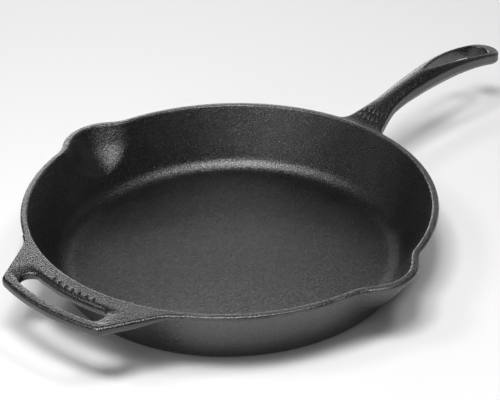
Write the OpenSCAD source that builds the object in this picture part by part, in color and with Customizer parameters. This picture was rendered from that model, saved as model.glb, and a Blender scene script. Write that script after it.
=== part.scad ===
// Cast iron skillet: a shallow round pan with two pour spouts, a slotted helper handle and a
// long arched handle with a teardrop hanging hole. All one casting; each node is a named region
// of it, and neighbouring regions meet face to face.
// Origin: centre of the flat underside. +X runs along the long handle, +Z up. Units: mm.

/* [Pan] */
// Outside diameter of the rim
rim_diameter = 306; // [200:1:380]
// Overall height of the pan, underside to rim
pan_height = 51; // [35:1:80]
// Diameter of the flat underside
base_diameter = 249; // [150:1:300]
// Thickness of the cooking floor
floor_thickness = 5; // [3:0.5:9]
// Thickness of the side wall, measured level
wall_thickness = 4.7; // [3:0.1:7]
// Radius where the underside turns up into the wall
base_corner_radius = 5; // [2:0.5:12]
// Radius between the cooking floor and the inside wall
floor_fillet_radius = 16; // [4:1:24]

/* [Rim] */
// Height of the lip around the rim
lip_height = 3.5; // [2:0.1:6]
// How far the lip stands out from the wall
lip_overhang = 1.8; // [0.5:0.1:3]
// Rounding of the outer edge of the lip
lip_rounding = 1.7; // [0.5:0.1:3]
// Softening of the inner edge of the lip
inner_edge_softening = 0.8; // [0.2:0.1:1.5]

/* [Pour spouts] */
// How far a spout reaches beyond the rim
spout_reach = 12; // [6:0.5:20]
// Radius of the spout in plan, outside
spout_radius = 35; // [24:1:50]
// Thickness of the spout lip
spout_thickness = 5; // [3:0.1:7]
// Height above the underside where the spout dies into the wall
spout_root_height = 15; // [8:1:24]
// Roundness of a spout's belly: 1 is a straight cone, less is fuller
spout_fullness = 0.57; // [0.4:0.01:1]
// How far the spouts lie towards the long handle
spout_shift = 1.2; // [0:0.1:6]

/* [Helper handle] */
// Distance from the pan's centre to the outer edge
helper_reach = 185.6; // [170:1:220]
// Thickness of the plate
helper_thickness = 6.6; // [4:0.2:9]
// Half the width of the plate across its outer corners
helper_half_width = 49.5; // [35:1:65]
// Angle of the plate's side edges to the handle line
helper_side_angle = 29; // [15:1:40]
// Radius of the outer corners
helper_corner_radius = 9; // [4:1:15]
// Radius where the side edges sweep into the rim
helper_flare_radius = 22; // [8:1:40]
// Width of the curved finger slot
slot_width = 14.2; // [10:0.2:20]
// Radius of the slot's middle line about the pan's centre
slot_line_radius = 169.6; // [160:0.2:185]
// Half the length of the slot
slot_half_length = 39.5; // [25:1:50]
// How far the web dips from the rim to the slot
web_dip = 2.2; // [0:0.1:3]

/* [Long handle] */
// Distance from the pan's centre to the handle's tip
handle_reach = 325; // [260:1:380]
// Depth of the handle below its top edges
handle_depth = 15.8; // [8:0.5:18]
// Height of the straight side above the parting line
side_height = 7; // [3:0.5:9]
// Extra depth where the handle runs into the wall
root_extra_depth = 3; // [0:0.5:10]

/* [Hanging hole] */
// Distance from the pan's centre to the pointed end
hole_point = 232; // [220:1:260]
// Distance from the pan's centre to the middle of the round end
hole_round_centre = 302; // [280:1:320]
// Radius of the round end
hole_radius = 9.8; // [5:0.1:11]

/* [Raised marks] */
// How far the marks stand out of the surface
mark_height = 0.6; // [0.3:0.1:1.5]
// Number of bars on the helper handle
helper_bars = 7; // [3:1:9]
// Number of bars in each row on the long handle
handle_bars = 5; // [3:1:7]

/* [Hidden] */
iron = [0.16, 0.16, 0.165];
mark_iron = [0.2, 0.2, 0.205];
$fn = 128;

rim_r = rim_diameter / 2;
base_r = base_diameter / 2;
lip_z = pan_height - lip_height;
wall_top_r = rim_r - lip_overhang;

// The outside of the wall is the straight line tangent to the base corner that ends at the lip.
corner_c = [base_r, base_corner_radius];
to_lip = [wall_top_r, lip_z] - corner_c;
wall_tilt = atan2(to_lip.x, to_lip.y) - asin(base_corner_radius / norm(to_lip));
wall_slope = tan(wall_tilt);
inner_top_r = wall_top_r + lip_height * wall_slope - wall_thickness;

// Radius of the inside wall at a height above the underside.
function inner_wall_r(z) = inner_top_r - (pan_height - z) * wall_slope;

fillet_run = floor_fillet_radius * tan((90 - wall_tilt) / 2);
fillet_c = [inner_wall_r(floor_thickness) - fillet_run, floor_thickness + floor_fillet_radius];
floor_r = fillet_c.x;

// Points on an arc about c, from angle a to angle b.
function arc(c, r, a, b, n = 8) = [for (i = [0:n]) let (t = a + (b - a) * i / n)
    c + r * [cos(t), sin(t)]];
function tail(points) = [for (i = [1:len(points) - 1]) points[i]];

base_corner = arc(corner_c, base_corner_radius, -90, -wall_tilt);
floor_fillet = arc(fillet_c, floor_fillet_radius, -wall_tilt, -90, 12);
lip_edge = concat(
    arc([rim_r - 0.8, lip_z + 0.8], 0.8, -90, 0, 4),
    arc([rim_r - lip_rounding, pan_height - lip_rounding], lip_rounding, 0, 90, 6));

// ---- Pan ----

// Everything inside the pan's outer surface, and above its level top.
module pan_envelope() {
    rotate_extrude() polygon(concat([[0, 0]], base_corner, [[wall_top_r, lip_z]], lip_edge,
        [[rim_r - lip_rounding, pan_height + 20], [0, pan_height + 20]]));
}

// The hollow of the pan, carried above the rim so that it cuts cleanly.
module pan_hollow() {
    rotate_extrude() polygon(concat([[0, pan_height + 20], [inner_top_r, pan_height + 20],
        [inner_top_r, pan_height]], floor_fillet, [[0, floor_thickness]]));
}

module cooking_floor() {
    color(iron) cylinder(r = floor_r, h = floor_thickness);
}

module side_wall() {
    color(iron) difference() {
        rotate_extrude() polygon(concat([[floor_r, 0]], base_corner,
            [[wall_top_r, lip_z], [inner_wall_r(lip_z), lip_z]], floor_fillet));
        for (side = [-1, 1]) spout_belly(side);
    }
}

// The lip, running round the pan and out along both spouts.
module rim() {
    color(iron) difference() {
        union() {
            rotate_extrude() polygon(concat([[0, lip_z], [wall_top_r, lip_z]], lip_edge,
                [[0, pan_height]]));
            for (side = [-1, 1]) spout_band(side);
        }
        rotate_extrude() polygon([[0, lip_z - 1], [inner_wall_r(lip_z - 1), lip_z - 1],
            [inner_top_r, pan_height - inner_edge_softening],
            [inner_top_r + inner_edge_softening, pan_height],
            [inner_top_r + inner_edge_softening, pan_height + 1], [0, pan_height + 1]]);
        for (side = [-1, 1]) spout_hollow(side);
    }
}

// ---- Pour spouts ----

spout_x = rim_r + spout_reach - spout_radius;
spout_body_r = spout_radius - lip_overhang * 0.7;

// Round bowl whose radius grows quickly at its foot and slowly near the top.
function bowl(foot_z, top_z, top_r) = [for (t = [0, 0.06, 0.15, 0.3, 0.5, 0.75, 1])
    [top_r * pow(t, spout_fullness), foot_z + (top_z - foot_z) * t]];

// Below the lip a spout's outside is a round bowl.
module spout_belly(side) {
    translate([spout_shift, side * spout_x, 0]) rotate_extrude()
        polygon(concat(bowl(spout_root_height, lip_z, spout_body_r), [[0, lip_z]]));
}

module spout_band(side) {
    translate([spout_shift, side * spout_x, 0]) rotate_extrude() polygon(concat([[0, lip_z]],
        arc([spout_radius - 0.8, lip_z + 0.8], 0.8, -90, 0, 4),
        arc([spout_radius - lip_rounding, pan_height - lip_rounding], lip_rounding, 0, 90, 6),
        [[0, pan_height]]));
}

// The hollow of a spout: the same bowl, one thickness smaller.
module spout_hollow(side) {
    mouth_r = spout_radius - spout_thickness;
    translate([spout_shift, side * spout_x, 0]) rotate_extrude() polygon(concat(
        bowl(spout_root_height + spout_thickness, pan_height - inner_edge_softening, mouth_r),
        [[mouth_r + inner_edge_softening, pan_height],
        [mouth_r + inner_edge_softening, pan_height + 20], [0, pan_height + 20]]));
}

module pour_spout(side) {
    color(iron) difference() {
        spout_belly(side);
        spout_hollow(side);
        pan_hollow();
    }
}

module left_pour_spout() pour_spout(1);
module right_pour_spout() pour_spout(-1);

// ---- Helper handle ----

plate_z = pan_height - helper_thickness;
slot_inner_r = slot_line_radius - slot_width / 2;
slot_end_angle = asin((slot_half_length - slot_width / 2) / slot_line_radius);

// Plan of the plate, drawn towards +X: outer arc, rounded corner, side edge, flare into the rim.
side_dir = [-cos(helper_side_angle), sin(helper_side_angle)];
side_out = [sin(helper_side_angle), cos(helper_side_angle)];
corner_pivot_y = helper_half_width - helper_corner_radius * side_out.y;
corner_pivot = [sqrt(pow(helper_reach - helper_corner_radius, 2) - pow(corner_pivot_y, 2)),
    corner_pivot_y];
side_start = corner_pivot + helper_corner_radius * side_out;
flare_base = side_start + helper_flare_radius * side_out;
flare_b = flare_base * side_dir;
flare_t = -flare_b - sqrt(flare_b * flare_b - flare_base * flare_base
    + pow(rim_r + helper_flare_radius, 2));
flare_c = flare_base + flare_t * side_dir;
flare_touch = atan2(-flare_c.y, -flare_c.x);
flare_leave = atan2(-side_out.y, -side_out.x);
outer_end = atan2(corner_pivot.y, corner_pivot.x);
half_outline = concat(arc([0, 0], helper_reach, 0, outer_end, 10),
    tail(arc(corner_pivot, helper_corner_radius, outer_end, 90 - helper_side_angle, 6)),
    arc(flare_c, helper_flare_radius, flare_leave, flare_touch, 8),
    [0.85 * rim_r * [-cos(flare_touch), -sin(flare_touch)]]);

module plate_outline() {
    polygon(concat(half_outline, [for (i = [len(half_outline) - 1:-1:1])
        [half_outline[i].x, -half_outline[i].y]]));
}

module slot_outline() {
    steps = 12;
    mid = slot_line_radius;
    half = slot_width / 2;
    inner = arc([0, 0], mid - half, -slot_end_angle, slot_end_angle, steps);
    outer = arc([0, 0], mid + half, slot_end_angle, -slot_end_angle, steps);
    end_c = mid * [cos(slot_end_angle), sin(slot_end_angle)];
    turn = 12;
    tip_a = arc(end_c, half, 180 + slot_end_angle, slot_end_angle, turn);
    tip_b = arc([end_c.x, -end_c.y], half, -slot_end_angle, -180 - slot_end_angle, turn);
    polygon(concat(inner, tail(tip_a), tail(outer), [for (i = [1:turn - 1]) tip_b[i]]));
}

// Radial section of the plate: web dipping to the slot, then the rounded outer bar.
edge_round = 2.4;
bar_edge = concat(
    arc([helper_reach - edge_round, plate_z + edge_round], edge_round, -90, 0, 5),
    arc([helper_reach - edge_round, pan_height - edge_round], edge_round, 0, 90, 5));
web_start_r = rim_r + 1;
web_end_r = slot_inner_r - 2;

module plate_section() {
    polygon(concat([[rim_r - 16, plate_z]], bar_edge, [
        [slot_inner_r + slot_width + 1.5, pan_height],
        [slot_inner_r + slot_width, pan_height - 1.5],
        [slot_inner_r, pan_height - web_dip - 1.5],
        [web_end_r, pan_height - web_dip],
        [web_start_r, pan_height], [rim_r - 16, pan_height]]));
}

module helper_handle() {
    color(iron) rotate(180) difference() {
        intersection() {
            rotate([0, 0, -45]) rotate_extrude(angle = 90) plate_section();
            translate([0, 0, plate_z - 1]) linear_extrude(helper_thickness + 2) plate_outline();
        }
        translate([0, 0, plate_z - 1]) linear_extrude(helper_thickness + 2) slot_outline();
        pan_envelope();
    }
}

// A row of plain raised bars along the web.
module helper_handle_marks() {
    pitch = 2.4;
    bar_angle = 1;
    web_fall = web_dip / (web_end_r - web_start_r);
    r0 = web_start_r + 1;
    r1 = web_end_r - 0.6;
    z0 = pan_height - (r0 - web_start_r) * web_fall;
    z1 = pan_height - (r1 - web_start_r) * web_fall;
    color(mark_iron) for (i = [0:helper_bars - 1])
        rotate(180 + (i - (helper_bars - 1) / 2) * pitch - bar_angle / 2)
            rotate_extrude(angle = bar_angle)
                polygon([[r0, z0], [r1, z1], [r1 - 0.4, z1 + mark_height],
                    [r0 + 0.4, z0 + mark_height]]);
}

// ---- Long handle ----

// Distance from the pan's centre, half width, height of the top edges above the rim, crown.
stations = [
    [140, 25.0, 0.0, 0.2],
    [152, 18.0, 0.0, 0.2],
    [160, 15.6, 1.8, 0.8],
    [170, 12.5, 5.0, 1.6],
    [182, 9.7, 8.3, 2.4],
    [200, 9.1, 11.9, 3.0],
    [220, 9.9, 14.0, 3.4],
    [240, 11.0, 15.1, 3.4],
    [260, 12.1, 14.6, 3.2],
    [280, 13.0, 12.3, 2.8],
    [300, 13.5, 8.6, 2.2],
    [handle_reach, 13.8, 2.6, 1.2]];

// Smooth curve through one column of the stations.
function slope_at(k, i) = i == 0 ? span_slope(k, 0)
    : i == len(stations) - 1 ? span_slope(k, i - 1)
    : (span_slope(k, i - 1) + span_slope(k, i)) / 2;
function span_slope(k, i) = (stations[i + 1][k] - stations[i][k])
    / (stations[i + 1][0] - stations[i][0]);
function span_of(x, i = 0) = i >= len(stations) - 2 || x < stations[i + 1][0] ? i
    : span_of(x, i + 1);
function along(k, x) = let (i = span_of(x), h = stations[i + 1][0] - stations[i][0],
    t = (x - stations[i][0]) / h, a = stations[i][k], b = stations[i + 1][k],
    u = slope_at(k, i) * h, v = slope_at(k, i + 1) * h)
    a + t * (u + t * (3 * (b - a) - 2 * u - v + t * (2 * (a - b) + u + v)));

end_r = 13.6;
end_c = handle_reach - end_r;
// Half width with the round end applied, and how far the end has rolled over.
function round_off(x) = x <= end_c ? 1 : sqrt(max(0.01, 1 - pow((x - end_c) / end_r, 2)));
function half_width(x) = along(1, x) * round_off(x);
function edge_z(x) = pan_height + along(2, x);
function depth(x) = handle_depth + root_extra_depth * pow(max(0, (176 - x) / 26), 2);

// Section across the handle: crowned top, straight side, narrower rounded belly.
function section(x, lift) = let (w = half_width(x), z = edge_z(x) + lift,
    c = along(3, x) * round_off(x), d = depth(x) + lift, e = min(1, w * 0.2), b = min(w * 0.45, 5),
    right = [[w - e * 0.1, z - 0.9], [w, z - side_height], [w - e * 0.9, z - side_height - 1.2],
        [w - b * 0.55, z - d + 1.3], [w - b, z - d]])
    concat([for (i = [0:6]) let (y = (w - e) * (1 - i / 3)) [x, y, z + c * (1 - pow(y / w, 2))]],
        [for (p = right) [x, -p.x, p.y]], [for (i = [4:-1:0]) [x, right[i].x, right[i].y]]);

// Solid through a run of sections.
module swept_handle(xs, lift = 0) {
    rings = [for (x = xs) section(x, lift)];
    n = len(rings[0]);
    m = len(xs);
    walls = [for (j = [0:m - 2], i = [0:n - 1]) let (a = j * n + i, b = j * n + (i + 1) % n)
        each [[a, b + n, b], [a, a + n, b + n]]];
    polyhedron([for (ring = rings) each ring], concat(walls,
        [[for (i = [0:n - 1]) i]], [[for (i = [n - 1:-1:0]) (m - 1) * n + i]]), convexity = 4);
}

handle_xs = concat([for (x = [140:4:end_c - 1]) x],
    [for (a = [0:10:80]) end_c + end_r * sin(a)], [handle_reach - 0.07]);

// Teardrop: the width swells from the pointed end, then closes in a half circle.
hole_side = [for (i = [0:16]) let (t = i / 16)
    [hole_point + t * (hole_round_centre - hole_point), hole_radius * sin(90 * pow(t, 0.75))]];

module teardrop() {
    polygon(concat(hole_side, arc([hole_round_centre, 0], hole_radius, 84, -84, 20),
        [for (i = [16:-1:1]) [hole_side[i].x, -hole_side[i].y]]));
}

module long_handle() {
    color(iron) difference() {
        swept_handle(handle_xs);
        translate([0, 0, pan_height - 20]) linear_extrude(60) teardrop();
        pan_envelope();
    }
}

// Two rows of plain raised bars across the top of the handle, at its root.
module long_handle_marks() {
    first_row = 158.5;
    row_pitch = 6.5;
    bar_pitch = 4.2;
    bar_size = [4, 2.4, 20];
    color(mark_iron) difference() {
        intersection() {
            swept_handle([for (x = [154:4:174]) x], mark_height);
            for (row = [0, 1], i = [0:handle_bars - 1])
                translate([first_row + row * row_pitch,
                    (i - (handle_bars - 1) / 2) * bar_pitch - bar_size.y / 2, pan_height - 2])
                    cube(bar_size);
        }
        swept_handle([for (x = [152:4:180]) x]);
    }
}

cooking_floor();
side_wall();
rim();
left_pour_spout();
right_pour_spout();
helper_handle();
helper_handle_marks();
long_handle();
long_handle_marks();
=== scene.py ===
"""Looks for the cast iron skillet: detailed meshes, cast iron material, studio and camera."""

import math

import bmesh
import bpy
import numpy as np
from mathutils import Matrix, Vector


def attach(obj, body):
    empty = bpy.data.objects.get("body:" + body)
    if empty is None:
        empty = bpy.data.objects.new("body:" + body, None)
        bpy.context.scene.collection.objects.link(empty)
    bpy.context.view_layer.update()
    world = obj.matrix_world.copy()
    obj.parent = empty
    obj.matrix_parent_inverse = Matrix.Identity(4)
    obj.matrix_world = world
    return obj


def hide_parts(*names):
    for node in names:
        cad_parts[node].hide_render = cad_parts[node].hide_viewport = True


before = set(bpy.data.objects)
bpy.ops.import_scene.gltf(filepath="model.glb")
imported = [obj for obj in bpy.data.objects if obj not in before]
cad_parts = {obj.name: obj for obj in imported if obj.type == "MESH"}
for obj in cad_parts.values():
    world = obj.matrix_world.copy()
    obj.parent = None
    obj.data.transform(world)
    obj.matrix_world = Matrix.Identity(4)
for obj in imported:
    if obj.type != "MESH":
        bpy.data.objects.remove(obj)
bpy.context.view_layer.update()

MM = 0.001

# ---- Sizes, in millimetres, in the frame of the CAD ----

HEIGHT = 51.0  # underside to rim
RIM_R = 153.0
LIP_Z = 47.5  # underside of the lip
WALL_TOP_R = 151.2
BASE_R = 124.5
BASE_ROUND = 5.0
FLOOR_Z = 5.0
WALL = 4.7
FLOOR_ROUND = 16.0
LIP_ROUND = 1.7
LIP_FOOT_ROUND = 0.8
INNER_ROUND = 0.9

to_lip = np.array([WALL_TOP_R - BASE_R, LIP_Z - BASE_ROUND])
TILT = math.atan2(*to_lip) - math.asin(BASE_ROUND / np.hypot(*to_lip))
SLOPE = math.tan(TILT)
INNER_TOP_R = WALL_TOP_R + (HEIGHT - LIP_Z) * SLOPE - WALL


def wall_out(z):
    return WALL_TOP_R - (LIP_Z - z) * SLOPE


def wall_in(z):
    return INNER_TOP_R - (HEIGHT - z) * SLOPE


def step01(a, b, x):
    t = np.clip((x - a) / (b - a), 0, 1)
    return t * t * (3 - 2 * t)


def smooth_max(a, b, k):
    h = np.maximum(k - np.abs(a - b), 0) / k
    return np.maximum(a, b) + h * h * k / 4


def smooth_min(a, b, k):
    return -smooth_max(-a, -b, k)


def round_max(a, b, r):
    """The overlap of two shapes, its corner rounded to radius r."""
    outside = np.hypot(np.maximum(a + r, 0), np.maximum(b + r, 0))
    return np.minimum(np.maximum(a, b), -r) + outside


# ---- Mesh helpers ----


WEAR_FROM, WEAR_OVER = 0.1, 0.14  # bend per millimetre where wear starts, and its further rise to full


def edge_wear(mesh):
    """How sharply the surface turns outwards at each point: 0 flat, 1 a worn edge."""
    solid = bmesh.new()
    solid.from_mesh(mesh)
    bend = []
    for v in solid.verts:
        steps = [v.co - e.other_vert(v).co for e in v.link_edges]
        bend.append(sum(v.normal.dot(d) / max(d.length_squared, 1e-9) for d in steps) / max(len(steps), 1))
    smoothed = []
    for v in solid.verts:
        around = sum(bend[e.other_vert(v).index] for e in v.link_edges) / len(v.link_edges)
        smoothed.append(0.5 * bend[v.index] + 0.5 * around)
    solid.free()
    return np.clip((np.array(smoothed) * MM - WEAR_FROM) / WEAR_OVER, 0, 1)


def new_object(name, points, faces, sharp=40, wear=None):
    """A closed, smooth-shaded mesh object from points in millimetres."""
    mesh = bpy.data.meshes.new(name)
    mesh.from_pydata((np.asarray(points) * MM).tolist(), [], faces)
    mesh.validate()
    solid = bmesh.new()
    solid.from_mesh(mesh)
    for _ in range(4):  # close up edges where two folds of a surface touch
        pinched = [e for e in solid.edges if len(e.link_faces) > 2]
        bmesh.ops.collapse(solid, edges=pinched)
    bmesh.ops.recalc_face_normals(solid, faces=solid.faces)
    if solid.calc_volume(signed=True) < 0:
        bmesh.ops.reverse_faces(solid, faces=solid.faces)
    solid.to_mesh(mesh)
    solid.free()
    mesh.polygons.foreach_set("use_smooth", [True] * len(mesh.polygons))
    mesh.set_sharp_from_angle(angle=math.radians(sharp))
    mesh.update()
    layer = mesh.attributes.new("wear", "FLOAT", "POINT")
    layer.data.foreach_set("value", edge_wear(mesh) if wear is None else wear)
    obj = bpy.data.objects.new(name, mesh)
    bpy.context.scene.collection.objects.link(obj)
    return obj


# ---- The pan: two sheets of rings, one inside and one outside, that meet on the rim ----

SPOUT_X = 130.0  # middle of a spout's round bowl, from the pan's centre
SPOUT_SHIFT = 1.2  # how far the spouts lie towards the long handle
SPOUT_R = 33.7  # the bowl's radius at the top of the wall, outside
SPOUT_FOOT = 15.0  # height of the bowl's lowest point, outside and inside
SPOUT_FOOT_IN = 21.0
MOUTH_R = 30.0  # the bowl's radius at the rim, inside
FULLNESS = 0.57  # 1 would be a straight cone
SPOUT_MAX = 45.0  # further out than any spout reaches
SPOUT_FADE = 9.0  # how far the bowl sinks into the wall at its foot
SPOUT_SPAN = 20.5  # half the angle a spout's own piece takes up, in degrees


def arc(cx, cz, r, a, b, n):
    """Points on an arc about (cx, cz) from angle a to angle b, in degrees."""
    t = np.radians(np.linspace(a, b, n))
    return np.stack([cx + r * np.cos(t), cz + r * np.sin(t)], 1)


tilt_deg = math.degrees(TILT)
fillet_x = wall_in(FLOOR_Z) - FLOOR_ROUND * math.tan((math.pi / 2 - TILT) / 2)
fillet = arc(fillet_x, FLOOR_Z + FLOOR_ROUND, FLOOR_ROUND, -90, -tilt_deg, 14)
corner = np.concatenate(
    [
        [[fillet_x + (BASE_R - fillet_x) * t, 0] for t in (0, 0.35, 0.7)],
        arc(BASE_R, BASE_ROUND, BASE_ROUND, -90, -tilt_deg, 11),
    ]
)
# The two sheets have the same number of rings, so that they pair up into solids.
FLOOR_RINGS = (0, 22, 44, 66, 88, 104, fillet_x - 4)  # radii
WALL_RINGS = 27

inner_z = np.linspace(fillet[-1, 1], LIP_Z, WALL_RINGS)[1:]
outer_z = np.linspace(corner[-1, 1], LIP_Z, WALL_RINGS)[1:]
soft = arc(INNER_ROUND, HEIGHT - INNER_ROUND, INNER_ROUND, 180, 90, 6)
lip_under = [[RIM_R - LIP_FOOT_ROUND - 0.3, LIP_Z]]
lip_foot = arc(RIM_R - LIP_FOOT_ROUND, LIP_Z + LIP_FOOT_ROUND, LIP_FOOT_ROUND, -80, 0, 4)
lip_top = arc(RIM_R - LIP_ROUND, HEIGHT - LIP_ROUND, LIP_ROUND, 0, 90, 8)

# Each ring: height, how far it stands off the plain wall there, and its plain radius.
inner_rings = [(FLOOR_Z, None, r) for r in FLOOR_RINGS]
inner_rings += [(z, None, r) for r, z in fillet]
inner_rings += [(z, 0.0, wall_in(z)) for z in inner_z]
inner_rings += [(LIP_Z + 1.1, 0.0, wall_in(LIP_Z + 1.1)), (LIP_Z + 2.0, 0.0, wall_in(LIP_Z + 2.0))]
inner_rings += [(z, e, wall_in(z) + e) for e, z in soft]
inner_rings += [(HEIGHT, INNER_ROUND + t, INNER_TOP_R + INNER_ROUND + t) for t in (0.4, 0.8, 1.1, 1.4)]
outer_rings = [(0.0, None, r) for r in FLOOR_RINGS]
outer_rings += [(z, None, r) for r, z in corner]
outer_rings += [(z, 0.0, wall_out(z)) for z in outer_z]
lip = np.concatenate([lip_under, lip_foot, lip_top[:-1]])
outer_rings += [(z, r - WALL_TOP_R, r) for r, z in lip]
assert len(inner_rings) == len(outer_rings), (len(inner_rings), len(outer_rings))

coarse = np.arange(0, 360, 2.0)
near = np.arange(-22, 22.01, 0.5)
columns = np.unique(np.concatenate([coarse[np.abs((coarse % 180) - 90) > 22.5], 90 + near, 270 + near]))
theta = np.radians(columns)
turned = np.degrees(math.asin(SPOUT_SHIFT / SPOUT_X))
off_spout = np.radians(np.where(columns < 180, columns - 90 + turned, columns - 270 - turned))


def spout_reach(radius, plain, blend, fade):
    """Radius of the outline where a spout's bowl swells out of the plain circle.

    The two are melted together over the blend, and the crossing is found by halving."""
    lo, hi = np.full_like(off_spout, plain), np.full_like(off_spout, plain + SPOUT_MAX)
    for _ in range(34):
        mid = (lo + hi) / 2
        to_bowl = np.hypot(mid * np.cos(off_spout) - SPOUT_X, mid * np.sin(off_spout)) - radius
        field = smooth_min(mid - plain, to_bowl + fade, blend)
        lo, hi = np.where(field < 0, mid, lo), np.where(field < 0, hi, mid)
    return (lo + hi) / 2


def bowl_radius(z, foot, top, top_r):
    return top_r * min(max((z - foot) / (top - foot), 0), 1) ** FULLNESS


def ring_points(rings, inside):
    """Points of every ring; the spouts melt in more softly towards their foot."""
    out = []
    for z, stand_off, plain in rings:
        radius = np.full_like(theta, plain)
        if stand_off is not None:
            if inside:
                bowl = bowl_radius(z, SPOUT_FOOT_IN, HEIGHT, MOUTH_R)
                blend = 8 + 6 * np.clip((50 - z) / 24, 0, 1)
                fade = SPOUT_FADE * np.clip((SPOUT_FOOT_IN + 18 - z) / 18, 0, 1) ** 2
            else:
                bowl = bowl_radius(z, SPOUT_FOOT, LIP_Z, SPOUT_R)
                blend = 6 + 4 * (1 - step01(16, 40, z))
                fade = SPOUT_FADE * (1 - step01(SPOUT_FOOT, SPOUT_FOOT + 8, z))
            radius = np.maximum(radius, spout_reach(bowl + stand_off, plain, blend, fade))
        out.append(np.stack([radius * np.cos(theta), radius * np.sin(theta), np.full_like(theta, z)], 1))
    return np.array(out)


inner = ring_points(inner_rings, True)
outer = ring_points(outer_rings, False)
ROWS, COLS = inner.shape[:2]

# Worn edges: the lip's inner edge, its outer rounding and, less, the foot of the wall.
inner_wear, outer_wear = np.zeros(ROWS), np.zeros(ROWS)
inner_wear[-len(soft) - 3 : -3] = 1.0
outer_wear[-len(lip_top) + 1 :] = 1.0
outer_wear[len(FLOOR_RINGS) + 4 : len(FLOOR_RINGS) + 10] = 0.5

FIRST_WALL = len(FLOOR_RINGS)
FIRST_RIM = FIRST_WALL + len(fillet) + WALL_RINGS - 2


def shell_piece(name, mask):
    """A closed solid from the cells of the two sheets picked out by the mask."""
    verts, faces, worn, seen = [], [], [], {}

    def vert(sheet, i, j):
        j %= COLS
        if i == 0:
            j = 0
        if i == ROWS:
            sheet = 2
        key = (sheet, i, j)
        if key not in seen:
            seen[key] = len(verts)
            if i == ROWS:
                middle = (inner[-1, j] + outer[-1, j]) / 2
                middle[2] = HEIGHT
                verts.append(middle)
                worn.append(0.3)
            else:
                verts.append((inner if sheet == 0 else outer)[i, j])
                worn.append((inner_wear if sheet == 0 else outer_wear)[i])
        return seen[key]

    def add(face):
        face = list(dict.fromkeys(face))
        if len(face) > 2:
            faces.append(face)

    cells = {(i, j) for i in range(ROWS) for j in range(COLS) if mask[i, j]}
    for i, j in cells:
        add([vert(0, i, j), vert(0, i + 1, j), vert(0, i + 1, j + 1), vert(0, i, j + 1)][::-1])
        add([vert(1, i, j), vert(1, i + 1, j), vert(1, i + 1, j + 1), vert(1, i, j + 1)])
        around = (
            ((i - 1, j), (i, j), (i, j + 1)),
            ((i + 1, j), (i + 1, j + 1), (i + 1, j)),
            ((i, (j - 1) % COLS), (i + 1, j), (i, j)),
            ((i, (j + 1) % COLS), (i, j + 1), (i + 1, j + 1)),
        )
        for beside, a, b in around:
            if beside in cells or beside[0] in (-1, ROWS):
                continue
            add([vert(0, *a), vert(0, *b), vert(1, *b), vert(1, *a)])
    return new_object(name, verts, faces, wear=worn)


def near_angle(angle):
    """Cells of the sheets that lie within a spout's span of an angle."""
    return np.abs((columns - angle + 180) % 360 - 180 + 0.25)[None, :] < SPOUT_SPAN


row = np.arange(ROWS)[:, None]
all_round = np.ones((1, COLS), bool)
wall_rows = (row >= FIRST_WALL - 1) & (row < FIRST_RIM)
spout_rows = (row >= FIRST_WALL + len(fillet)) & (row < FIRST_RIM)
in_left, in_right = near_angle(90), near_angle(270)
cooking_floor = shell_piece("skillet_cooking_floor", (row < FIRST_WALL - 1) & all_round)
side_wall = shell_piece("skillet_side_wall", wall_rows & ~(spout_rows & (in_left | in_right)))
rim = shell_piece("skillet_rim", (row >= FIRST_RIM) & all_round)
left_spout = shell_piece("skillet_left_pour_spout", spout_rows & in_left)
right_spout = shell_piece("skillet_right_pour_spout", spout_rows & in_right)

# ---- The handles: closed surfaces of a distance field that melts them into the pan ----

EMBED = 2.6  # how far a handle's hidden root reaches into the wall
HIDE = 0.02  # how far under the pan's surface a root's skirt ends


def surface(field, low, high, pitch):
    """Closed quad mesh of the surface where the field is zero."""
    low, high = np.array(low, float), np.array(high, float)
    count = np.ceil((high - low) / pitch).astype(int) + 1
    axes = [low[a] + pitch * np.arange(count[a]) for a in range(3)]
    grid = np.stack(np.meshgrid(*axes, indexing="ij"), -1)
    value = field(grid)
    solid = value < 0
    total = np.zeros(tuple(count - 1) + (3,))
    hits = np.zeros(tuple(count - 1))
    edges = []
    for axis in range(3):
        b, c = [a for a in range(3) if a != axis]
        first = [slice(None)] * 3
        last = [slice(None)] * 3
        first[axis], last[axis] = slice(0, -1), slice(1, None)
        first, last = tuple(first), tuple(last)
        cross = solid[first] != solid[last]
        with np.errstate(divide="ignore", invalid="ignore"):
            t = np.where(cross, value[first] / (value[first] - value[last]), 0)
        where = grid[first] + t[..., None] * (grid[last] - grid[first])
        where = where * cross[..., None]
        for db in (0, 1):
            for dc in (0, 1):
                pick = [slice(None)] * 3
                pick[b] = slice(db, count[b] - 1 + db)
                pick[c] = slice(dc, count[c] - 1 + dc)
                total += where[tuple(pick)]
                hits += cross[tuple(pick)]
        edges.append((axis, b, c, np.argwhere(cross), solid[first][cross]))
    used = hits > 0
    index = np.full(used.shape, -1)
    index[used] = np.arange(used.sum())
    points = total[used] / hits[used][:, None]
    faces = []
    for axis, b, c, at, starts_solid in edges:
        corners = []
        for db, dc in ((-1, -1), (0, -1), (0, 0), (-1, 0)):
            cell = at.copy()
            cell[:, b] += db
            cell[:, c] += dc
            corners.append(index[tuple(cell.T)])
        quad = np.stack(corners, 1)
        flip = starts_solid if axis != 1 else ~starts_solid
        quad = np.where(flip[:, None], quad, quad[:, ::-1])
        faces.append(quad)
    faces = np.concatenate(faces)
    # Slide the points on to the surface itself.
    for _ in range(4):
        base = field(points)
        slope = np.stack([field(points + 0.02 * np.eye(3)[a]) - base for a in range(3)], -1) / 0.02
        move = -slope * (base / np.maximum((slope**2).sum(-1), 0.2))[:, None]
        length = np.linalg.norm(move, axis=1, keepdims=True)
        points = points + move * np.minimum(1, 0.4 * pitch / np.maximum(length, 1e-9))
    return points, faces.tolist()


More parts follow.
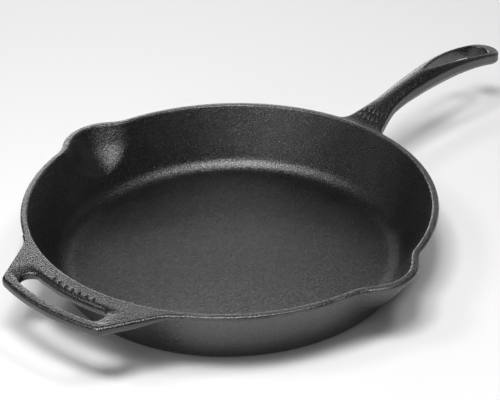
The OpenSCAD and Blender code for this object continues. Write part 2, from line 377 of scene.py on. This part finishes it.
def pan_side(r, z):
    """Distance to the pan's outside, carried straight up past the rim."""
    cone = (r - wall_out(z)) * math.cos(TILT)
    band = round_max(r - RIM_R, LIP_Z - z, LIP_FOOT_ROUND)
    return smooth_min(cone, band, 0.8)


def rooted(total, r, z, reach):
    """Keeps what stands out of the pan, and a hidden root of it inside the wall."""
    pan = np.maximum(pan_side(r, z), z - HEIGHT)
    outside_hollow = (wall_in(z) + 1.36 - r) * math.cos(TILT)
    return np.maximum.reduce([total + HIDE, -EMBED - pan, outside_hollow, reach])


# Long handle: distance from the pan's centre, half width, height of the edges, crown.
STATIONS = np.array(
    [
        [140, 18.6, 0.0, 0.0],
        [152, 17.4, 0.0, 0.0],
        [160, 15.6, 1.8, 0.6],
        [170, 12.5, 5.0, 1.5],
        [182, 9.7, 8.3, 2.4],
        [200, 9.1, 11.9, 3.0],
        [220, 9.9, 14.0, 3.4],
        [240, 11.0, 15.1, 3.4],
        [260, 12.1, 14.6, 3.2],
        [280, 13.0, 12.3, 2.8],
        [300, 13.5, 8.6, 2.2],
        [325, 13.8, 2.6, 1.2],
    ]
)
TIP_R = 13.6
TIP_X = 325 - TIP_R
SIDE_DEPTH = 7.2
BELLY_LEAN = math.radians(38)
HANDLE_DEPTH = 15.8
ROOT_DEEPER = 3.0  # extra depth where the handle runs into the wall
TIP_SHALLOWER = 4.2  # how much less deep it is past the middle of the hole
ROOT_BLEND = 8.0  # softness of the fillet between handle and pan


def curve_table(column, step=0.25):
    x, y = STATIONS[:, 0], STATIONS[:, column]
    span = np.diff(y) / np.diff(x)
    slope = np.concatenate([[span[0]], (span[1:] + span[:-1]) / 2, [span[-1]]])
    at = np.arange(x[0], x[-1] + step, step)
    i = np.clip(np.searchsorted(x, at, side="right") - 1, 0, len(x) - 2)
    h = x[i + 1] - x[i]
    t = (at - x[i]) / h
    a, b, u, v = y[i], y[i + 1], slope[i] * h, slope[i + 1] * h
    return at, a + t * (u + t * (3 * (b - a) - 2 * u - v + t * (2 * (a - b) + u + v)))


WIDTH_CURVE, EDGE_CURVE, CROWN_CURVE = curve_table(1), curve_table(2), curve_table(3)
HOLE_TIP, HOLE_END, HOLE_R = 232.0, 302.0, 9.8


def along(curve, x):
    return np.interp(x, *curve)


def handle_top(x, y):
    across = (y / along(WIDTH_CURVE, x)) ** 2
    return HEIGHT + along(EDGE_CURVE, x) + along(CROWN_CURVE, x) * smooth_max(1 - across, 0 * x, 0.15)


def handle_hole(x, y):
    t = np.clip((x - HOLE_TIP) / (HOLE_END - HOLE_TIP), 0, 1)
    half = HOLE_R * np.sin(np.pi / 2 * t**0.75)
    lean = HOLE_R * np.pi / 2 * 0.75 * np.maximum(t, 0.03) ** -0.25 * np.cos(np.pi / 2 * t**0.75)
    side = (np.abs(y) - half) / np.sqrt(1 + (lean / (HOLE_END - HOLE_TIP)) ** 2)
    side = np.where(x < HOLE_TIP, np.hypot(x - HOLE_TIP, y), side)
    return np.where(x > HOLE_END, np.hypot(x - HOLE_END, y) - HOLE_R, side)


def handle_field(p):
    x, y, z = p[..., 0], p[..., 1], p[..., 2]
    r = np.hypot(x, y)
    width, edge = along(WIDTH_CURVE, x), HEIGHT + along(EDGE_CURVE, x)
    plan = np.where(x > TIP_X, np.hypot(x - TIP_X, y) - TIP_R, np.abs(y) - width)
    deep = HANDLE_DEPTH + ROOT_DEEPER * np.clip((176 - x) / 26, 0, 1.5) ** 2
    deep -= TIP_SHALLOWER * step01(236, 296, x)
    belly = (plan + (edge - SIDE_DEPTH - z) * math.tan(BELLY_LEAN)) * math.cos(BELLY_LEAN)
    under = (edge - deep - z) * 0.96
    body = round_max(smooth_max(plan, belly, 0.5), under, 2.5)
    joined = smooth_min(pan_side(r, z), body, ROOT_BLEND)
    roundness = 1.7 + 0.6 * step01(154, 166, x)
    shape = round_max(joined, z - handle_top(x, y), roundness)
    shape = smooth_max(shape, -handle_hole(x, y), 1.6)
    reach = np.maximum(body - 9.0, 120 - x)
    return rooted(shape, r, z, reach)


# Helper handle: a plate level with the rim, with a curved slot.
PLATE_R = 185.6
PLATE = 6.6
SLOT_LINE, SLOT_HALF = 169.6, 7.1
SLOT_ANGLE = math.asin((39.5 - SLOT_HALF) / SLOT_LINE)
SIDE_ANGLE = math.radians(29)
CORNER_R, FLARE_R, HALF_WIDTH = 9.0, 22.0, 49.5
WEB_DIP = 2.2
WEB_FALL = (158.8, 164.5)  # radii between which the plate dips towards the slot
BAR_RISE = (176.0, 178.8)  # and between which it rises again to the outer bar
WEB_END = (9, 17)  # angles between which the dip dies out, in degrees
PLATE_BLEND = 5.0


def plate_outline():
    """Half of the plate's plan, drawn towards +X, as in the CAD."""
    side = np.array([-math.cos(SIDE_ANGLE), math.sin(SIDE_ANGLE)])
    out = np.array([math.sin(SIDE_ANGLE), math.cos(SIDE_ANGLE)])
    pivot_y = HALF_WIDTH - CORNER_R * out[1]
    pivot = np.array([math.sqrt((PLATE_R - CORNER_R) ** 2 - pivot_y**2), pivot_y])
    base = pivot + (CORNER_R + FLARE_R) * out
    b = base @ side
    t = -b - math.sqrt(b * b - base @ base + (RIM_R + FLARE_R) ** 2)
    centre = base + t * side
    end = math.degrees(math.atan2(pivot[1], pivot[0]))
    leave = math.degrees(math.atan2(-out[1], -out[0]))
    touch = math.degrees(math.atan2(-centre[1], -centre[0]))
    inside = 0.85 * RIM_R * np.array([-math.cos(math.radians(touch)), -math.sin(math.radians(touch))])
    half = np.concatenate(
        [
            arc(0, 0, PLATE_R, 0, end, 12),
            arc(pivot[0], pivot[1], CORNER_R, end, 90 - math.degrees(SIDE_ANGLE), 9)[1:],
            arc(centre[0], centre[1], FLARE_R, leave, touch, 12),
            [inside],
        ]
    )
    return np.concatenate([half, (half * [1, -1])[:0:-1]])


OUTLINE = plate_outline()


def polygon_distance(x, y, poly):
    """Signed distance to a closed polygon, negative inside."""
    best = np.full(x.shape, 1e9)
    inside = np.zeros(x.shape, bool)
    for (ax, ay), (bx, by) in zip(poly, np.roll(poly, -1, 0)):
        dx, dy = bx - ax, by - ay
        t = np.clip(((x - ax) * dx + (y - ay) * dy) / (dx * dx + dy * dy), 0, 1)
        best = np.minimum(best, (x - ax - t * dx) ** 2 + (y - ay - t * dy) ** 2)
        if ay != by:
            over = (y < ay) != (y < by)
            inside ^= over & (x < (bx - ax) * (y - ay) / (by - ay) + ax)
    return np.where(inside, -1, 1) * np.sqrt(best)


def plate_top(x, y):
    r, angle = np.hypot(x, y), np.abs(np.degrees(np.arctan2(y, -x)))
    dip = step01(*WEB_FALL, r) * (1 - step01(*BAR_RISE, r)) * (1 - step01(*WEB_END, angle))
    return HEIGHT - WEB_DIP * dip


def plate_field(p):
    x, y, z = p[..., 0], p[..., 1], p[..., 2]
    r, angle = np.hypot(x, y), np.abs(np.degrees(np.arctan2(y, -x)))
    if p.ndim == 4:
        plan = np.repeat(polygon_distance(-x[:, :, :1], y[:, :, :1], OUTLINE), x.shape[2], 2)
    else:
        plan = polygon_distance(-x, y, OUTLINE)
    bottom = HEIGHT - PLATE + 3.1 * step01(19, 31, angle)
    slab = round_max(plan, bottom - z, 2.0)
    joined = smooth_min(pan_side(r, z), slab, PLATE_BLEND)
    roundness = 1.7 + 0.7 * step01(154, 164, r)
    shape = round_max(joined, z - plate_top(x, y), roundness)
    end_y = SLOT_LINE * math.sin(SLOT_ANGLE)
    end_x = SLOT_LINE * math.cos(SLOT_ANGLE)
    in_slot = np.where(
        angle < math.degrees(SLOT_ANGLE), np.abs(r - SLOT_LINE), np.hypot(-x - end_x, np.abs(y) - end_y)
    )
    shape = round_max(shape, SLOT_HALF - in_slot, 1.6)
    reach = np.maximum(slab - 6.5, x + 90)
    return rooted(shape, r, z, reach)


pitch = 0.85
long_handle = new_object(
    "skillet_long_handle", *surface(handle_field, (122, -36, 16), (328, 36, 74), pitch), sharp=50
)
helper_handle = new_object(
    "skillet_helper_handle", *surface(plate_field, (-193, -96, 34), (-100, 96, 55), pitch), sharp=50
)

# ---- Raised marks: plain bars that follow the surface under them ----

MARK = 0.8  # how far a bar stands out of the surface
MARK_ROUND = 0.7  # how far in from its edges it reaches that height
MARK_SUNK = 0.12  # how far its edges are sunk into the surface
MARK_ROOT = 0.7  # how far its hidden root is sunk
HANDLE_ROWS, HANDLE_BARS = 2, 5
PLATE_BARS = 7


def bar_mesh(top, centre, along_dir, length, width, nu=11, nv=9):
    """A low rounded bar lying on the surface top(x, y)."""
    along_dir = np.array(along_dir, float)
    across = np.array([-along_dir[1], along_dir[0]])
    u, v = np.meshgrid(np.linspace(-1, 1, nu), np.linspace(-1, 1, nv), indexing="ij")
    at = np.array(centre) + (u[..., None] * along_dir * length + v[..., None] * across * width) / 2
    ground = top(at[..., 0], at[..., 1])
    rise = np.minimum((1 - np.abs(u)) * length / 2, (1 - np.abs(v)) * width / 2)
    lift = MARK * np.sin(np.pi / 2 * np.clip(rise / MARK_ROUND, 0, 1)) - MARK_SUNK
    upper = np.concatenate([at, (ground + lift)[..., None]], -1).reshape(-1, 3)
    lower = np.concatenate([at, (ground - MARK_ROOT)[..., None]], -1).reshape(-1, 3)
    n = nu * nv
    faces = []
    for i in range(nu - 1):
        for j in range(nv - 1):
            a, b, c, d = i * nv + j, (i + 1) * nv + j, (i + 1) * nv + j + 1, i * nv + j + 1
            faces += [[a, b, c, d], [n + d, n + c, n + b, n + a]]
    border = [i * nv for i in range(nu)] + [(nu - 1) * nv + j for j in range(1, nv)]
    border += [i * nv + nv - 1 for i in range(nu - 2, -1, -1)] + list(range(nv - 2, 0, -1))
    for a, b in zip(border, border[1:] + border[:1]):
        faces.append([a, n + a, n + b, b])
    return np.concatenate([upper, lower]), faces


def joined_bars(name, bars):
    """One object from a list of bars."""
    points, faces, base = [], [], 0
    for p, f in bars:
        points.append(p)
        faces += [[base + i for i in face] for face in f]
        base += len(p)
    return new_object(name, np.concatenate(points), faces, sharp=60)


handle_marks = joined_bars(
    "skillet_long_handle_marks",
    [
        bar_mesh(handle_top, (160.5 + 6.5 * line, (i - (HANDLE_BARS - 1) / 2) * 4.2), (1, 0), 4.0, 2.4)
        for line in range(HANDLE_ROWS)
        for i in range(HANDLE_BARS)
    ],
)


def plate_bar(i):
    """The bars stand side by side along the plate's inner edge, each pointing outwards."""
    angle = math.radians(180 + (i - (PLATE_BARS - 1) / 2) * 2.4)
    outward = np.array([math.cos(angle), math.sin(angle)])
    return bar_mesh(plate_top, 157.6 * outward, outward, 4.6, 2.7)


helper_marks = joined_bars("skillet_helper_handle_marks", [plate_bar(i) for i in range(PLATE_BARS)])

# ---- Material: sand-cast iron with a seasoned skin ----


def grey(value):
    return (value, value, value, 1)


def cast_iron():
    mat = bpy.data.materials.new("seasoned_cast_iron")
    mat.use_nodes = True
    nodes, links = mat.node_tree.nodes, mat.node_tree.links
    shader = nodes["Principled BSDF"]
    coords = nodes.new("ShaderNodeTexCoord")

    def noise(scale, detail, rough):
        n = nodes.new("ShaderNodeTexNoise")
        n.inputs["Scale"].default_value = scale
        n.inputs["Detail"].default_value = detail
        n.inputs["Roughness"].default_value = rough
        links.new(coords.outputs["Object"], n.inputs["Vector"])
        return n

    def ramp(source, stops):
        n = nodes.new("ShaderNodeValToRGB")
        n.color_ramp.elements[0].position, n.color_ramp.elements[0].color = stops[0]
        n.color_ramp.elements[1].position, n.color_ramp.elements[1].color = stops[-1]
        for position, colour in stops[1:-1]:
            n.color_ramp.elements.new(position).color = colour
        links.new(source, n.inputs["Fac"])
        return n

    def bump(source, strength, distance, under=None):
        n = nodes.new("ShaderNodeBump")
        n.inputs["Strength"].default_value = strength
        n.inputs["Distance"].default_value = distance
        links.new(source, n.inputs["Height"])
        if under:
            links.new(under.outputs["Normal"], n.inputs["Normal"])
        return n

    def maths(operation, *values):
        n = nodes.new("ShaderNodeMath")
        n.operation = operation
        for socket, value in zip(n.inputs, values):
            if isinstance(value, (int, float)):
                socket.default_value = value
            else:
                links.new(value, socket)
        return n.outputs["Value"]

    # Grain of half a millimetre on pebbles of a millimetre, mottling of two centimetres and
    # patches the width of a hand.
    grain = noise(2200, 2, 0.6)
    pebble = noise(880, 2, 0.6)
    mottle = noise(45, 4, 0.6)
    patches = noise(9, 3, 0.5)

    # Wear: only in places along the worn edges.
    edges = nodes.new("ShaderNodeAttribute")
    edges.attribute_name = "wear"
    patchy = ramp(mottle.outputs["Fac"], [(0.42, grey(0.25)), (0.6, grey(1))])
    worn = maths("MULTIPLY", edges.outputs["Fac"], patchy.outputs["Color"])

    # Colour: near-black skin, greyer where the seasoning is thin or worn off an edge.
    shade = maths("MULTIPLY_ADD", worn, 0.45, maths("MULTIPLY", mottle.outputs["Fac"], 0.5))
    skin = ramp(
        shade,
        [
            (0.15, (0.005, 0.005, 0.0052, 1)),
            (0.28, (0.008, 0.008, 0.0082, 1)),
            (0.4, (0.013, 0.0128, 0.0125, 1)),
            (0.72, (0.045, 0.044, 0.042, 1)),
        ],
    )
    links.new(skin.outputs["Color"], shader.inputs["Base Color"])

    # Roughness: matte, with shinier specks on the pebbles, slow patches and smoother worn edges.
    specks = ramp(pebble.outputs["Fac"], [(0.36, grey(0.35)), (0.64, grey(0.18))])
    drift = ramp(patches.outputs["Fac"], [(0.3, grey(0.92)), (0.7, grey(1.06))])
    matte = maths("MULTIPLY", specks.outputs["Color"], drift.outputs["Color"])
    links.new(maths("MULTIPLY_ADD", worn, -0.05, matte), shader.inputs["Roughness"])
    shader.inputs["IOR"].default_value = 1.75

    # Relief: the finer grain rides on the pebbles.
    low = bump(pebble.outputs["Fac"], 1.0, 0.00034)
    fine = bump(grain.outputs["Fac"], 0.5, 0.0002, low)
    links.new(fine.outputs["Normal"], shader.inputs["Normal"])
    return mat


iron = cast_iron()

# Each visible piece and the CAD node that it takes the place of.
PIECES = (
    (cooking_floor, "cooking_floor"),
    (side_wall, "side_wall"),
    (rim, "rim"),
    (left_spout, "left_pour_spout"),
    (right_spout, "right_pour_spout"),
    (long_handle, "long_handle"),
    (helper_handle, "helper_handle"),
    (handle_marks, "long_handle_marks"),
    (helper_marks, "helper_handle_marks"),
)
for piece, node in PIECES:
    piece.data.materials.append(iron)
    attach(piece, "root")
    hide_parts(node)

# ---- Studio ----


def pale_floor():
    mat = bpy.data.materials.new("pale_floor")
    mat.use_nodes = True
    shader = mat.node_tree.nodes["Principled BSDF"]
    shader.inputs["Base Color"].default_value = (0.86, 0.86, 0.86, 1)
    shader.inputs["Roughness"].default_value = 0.9
    shader.inputs["Emission Color"].default_value = (1, 1, 1, 1)
    shader.inputs["Emission Strength"].default_value = 0.015
    return mat


bpy.ops.mesh.primitive_plane_add(size=12, location=(0, 0, -0.0002))
floor = bpy.context.object
floor.name = "studio_floor"
floor.data.materials.append(pale_floor())

world = bpy.data.worlds.new("studio_world")
world.use_nodes = True
sky = world.node_tree.nodes["Background"]
sky.inputs["Color"].default_value = (1, 1, 1, 1)
sky.inputs["Strength"].default_value = 0.02
bpy.context.scene.world = world


# Directions as the camera sees them: right, away from it, and up.
HANDLE_TURN = math.radians(46.12)  # from the camera's right to the long handle
RIGHT = Vector((math.cos(HANDLE_TURN), -math.sin(HANDLE_TURN), 0))
AWAY = Vector((math.sin(HANDLE_TURN), math.cos(HANDLE_TURN), 0))


LAMP_DISTANCE = 1.6
AIM = Vector((0, 0, 0.03))


def lamp_at(name, turn, elevation, size, power):
    """A square softbox aimed at the pan; turn 0 is above the camera, 90 on the right."""
    turn, elevation = math.radians(turn), math.radians(elevation)
    flat = RIGHT * math.sin(turn) - AWAY * math.cos(turn)
    light = bpy.data.lights.new(name, "AREA")
    light.shape = "SQUARE"
    light.size = size
    light.energy = power
    obj = bpy.data.objects.new(name, light)
    obj.location = (flat * math.cos(elevation) + Vector((0, 0, math.sin(elevation)))) * LAMP_DISTANCE
    obj.rotation_euler = (AIM - obj.location).to_track_quat("-Z", "Y").to_euler()
    bpy.context.scene.collection.objects.link(obj)


# Name, turn, elevation, size in metres, power in watts: keys high above the camera, a low
# one in front, and a ring of faint ones beyond the pan and at its sides.
LAMPS = (
    ("key_left", -30, 66, 0.3, 9.6),
    ("key_middle", 0, 66, 0.3, 8.0),
    ("key_right", 60, 66, 0.3, 4.2),
    ("side_left", -75, 54, 0.35, 4.1),
    ("top", 0, 78, 0.3, 1.9),
    ("front_high", 0, 54, 0.35, 1.2),
    ("front_low", -35, 12, 0.6, 3.5),
    ("back_foot", 180, 8, 0.4, 1.95),
    ("back_foot_left", 196, 8, 0.4, 3.6),
    ("back_foot_right", 148, 8, 0.4, 0.85),
    ("back_left", 196, 20, 0.4, 0.92),
    ("back_middle", 180, 20, 0.4, 0.94),
    ("back_right", 164, 20, 0.4, 0.57),
    ("back_high", 180, 34, 0.4, 0.48),
    ("left_foot", 262, 20, 0.6, 0.8),
    ("right_foot", 120, 20, 0.6, 0.4),
)
for lamp in LAMPS:
    lamp_at(*lamp)

# ---- Camera: the photograph's viewing angle ----

LENS = 129.5
DISTANCE = 1.3193  # metres from the middle of the rim
ELEVATION = math.radians(30.77)
ROLL = math.radians(-1.621)
ASIDE, ABOVE = 0.01132, 0.0004  # how far the middle of the frame lies off the rim's centre

forward = AWAY * math.cos(ELEVATION) - Vector((0, 0, math.sin(ELEVATION)))
up = RIGHT.cross(forward)
eye = Vector((0, 0, HEIGHT * MM)) - forward * DISTANCE
right, up = (
    RIGHT * math.cos(ROLL) + up * math.sin(ROLL),
    up * math.cos(ROLL) - RIGHT * math.sin(ROLL),
)
forward = (forward + right * ASIDE - up * ABOVE).normalized()
right = (right - forward * right.dot(forward)).normalized()
up = right.cross(forward)
camera_data = bpy.data.cameras.new("camera")
camera_data.lens = LENS
camera_data.clip_start = 0.05
camera = bpy.data.objects.new("camera", camera_data)
pose = Matrix((right, up, -forward)).transposed().to_4x4()
pose.translation = eye
camera.matrix_world = pose
bpy.context.scene.collection.objects.link(camera)
bpy.context.scene.camera = camera
bpy.context.scene.view_settings.view_transform = "Standard"
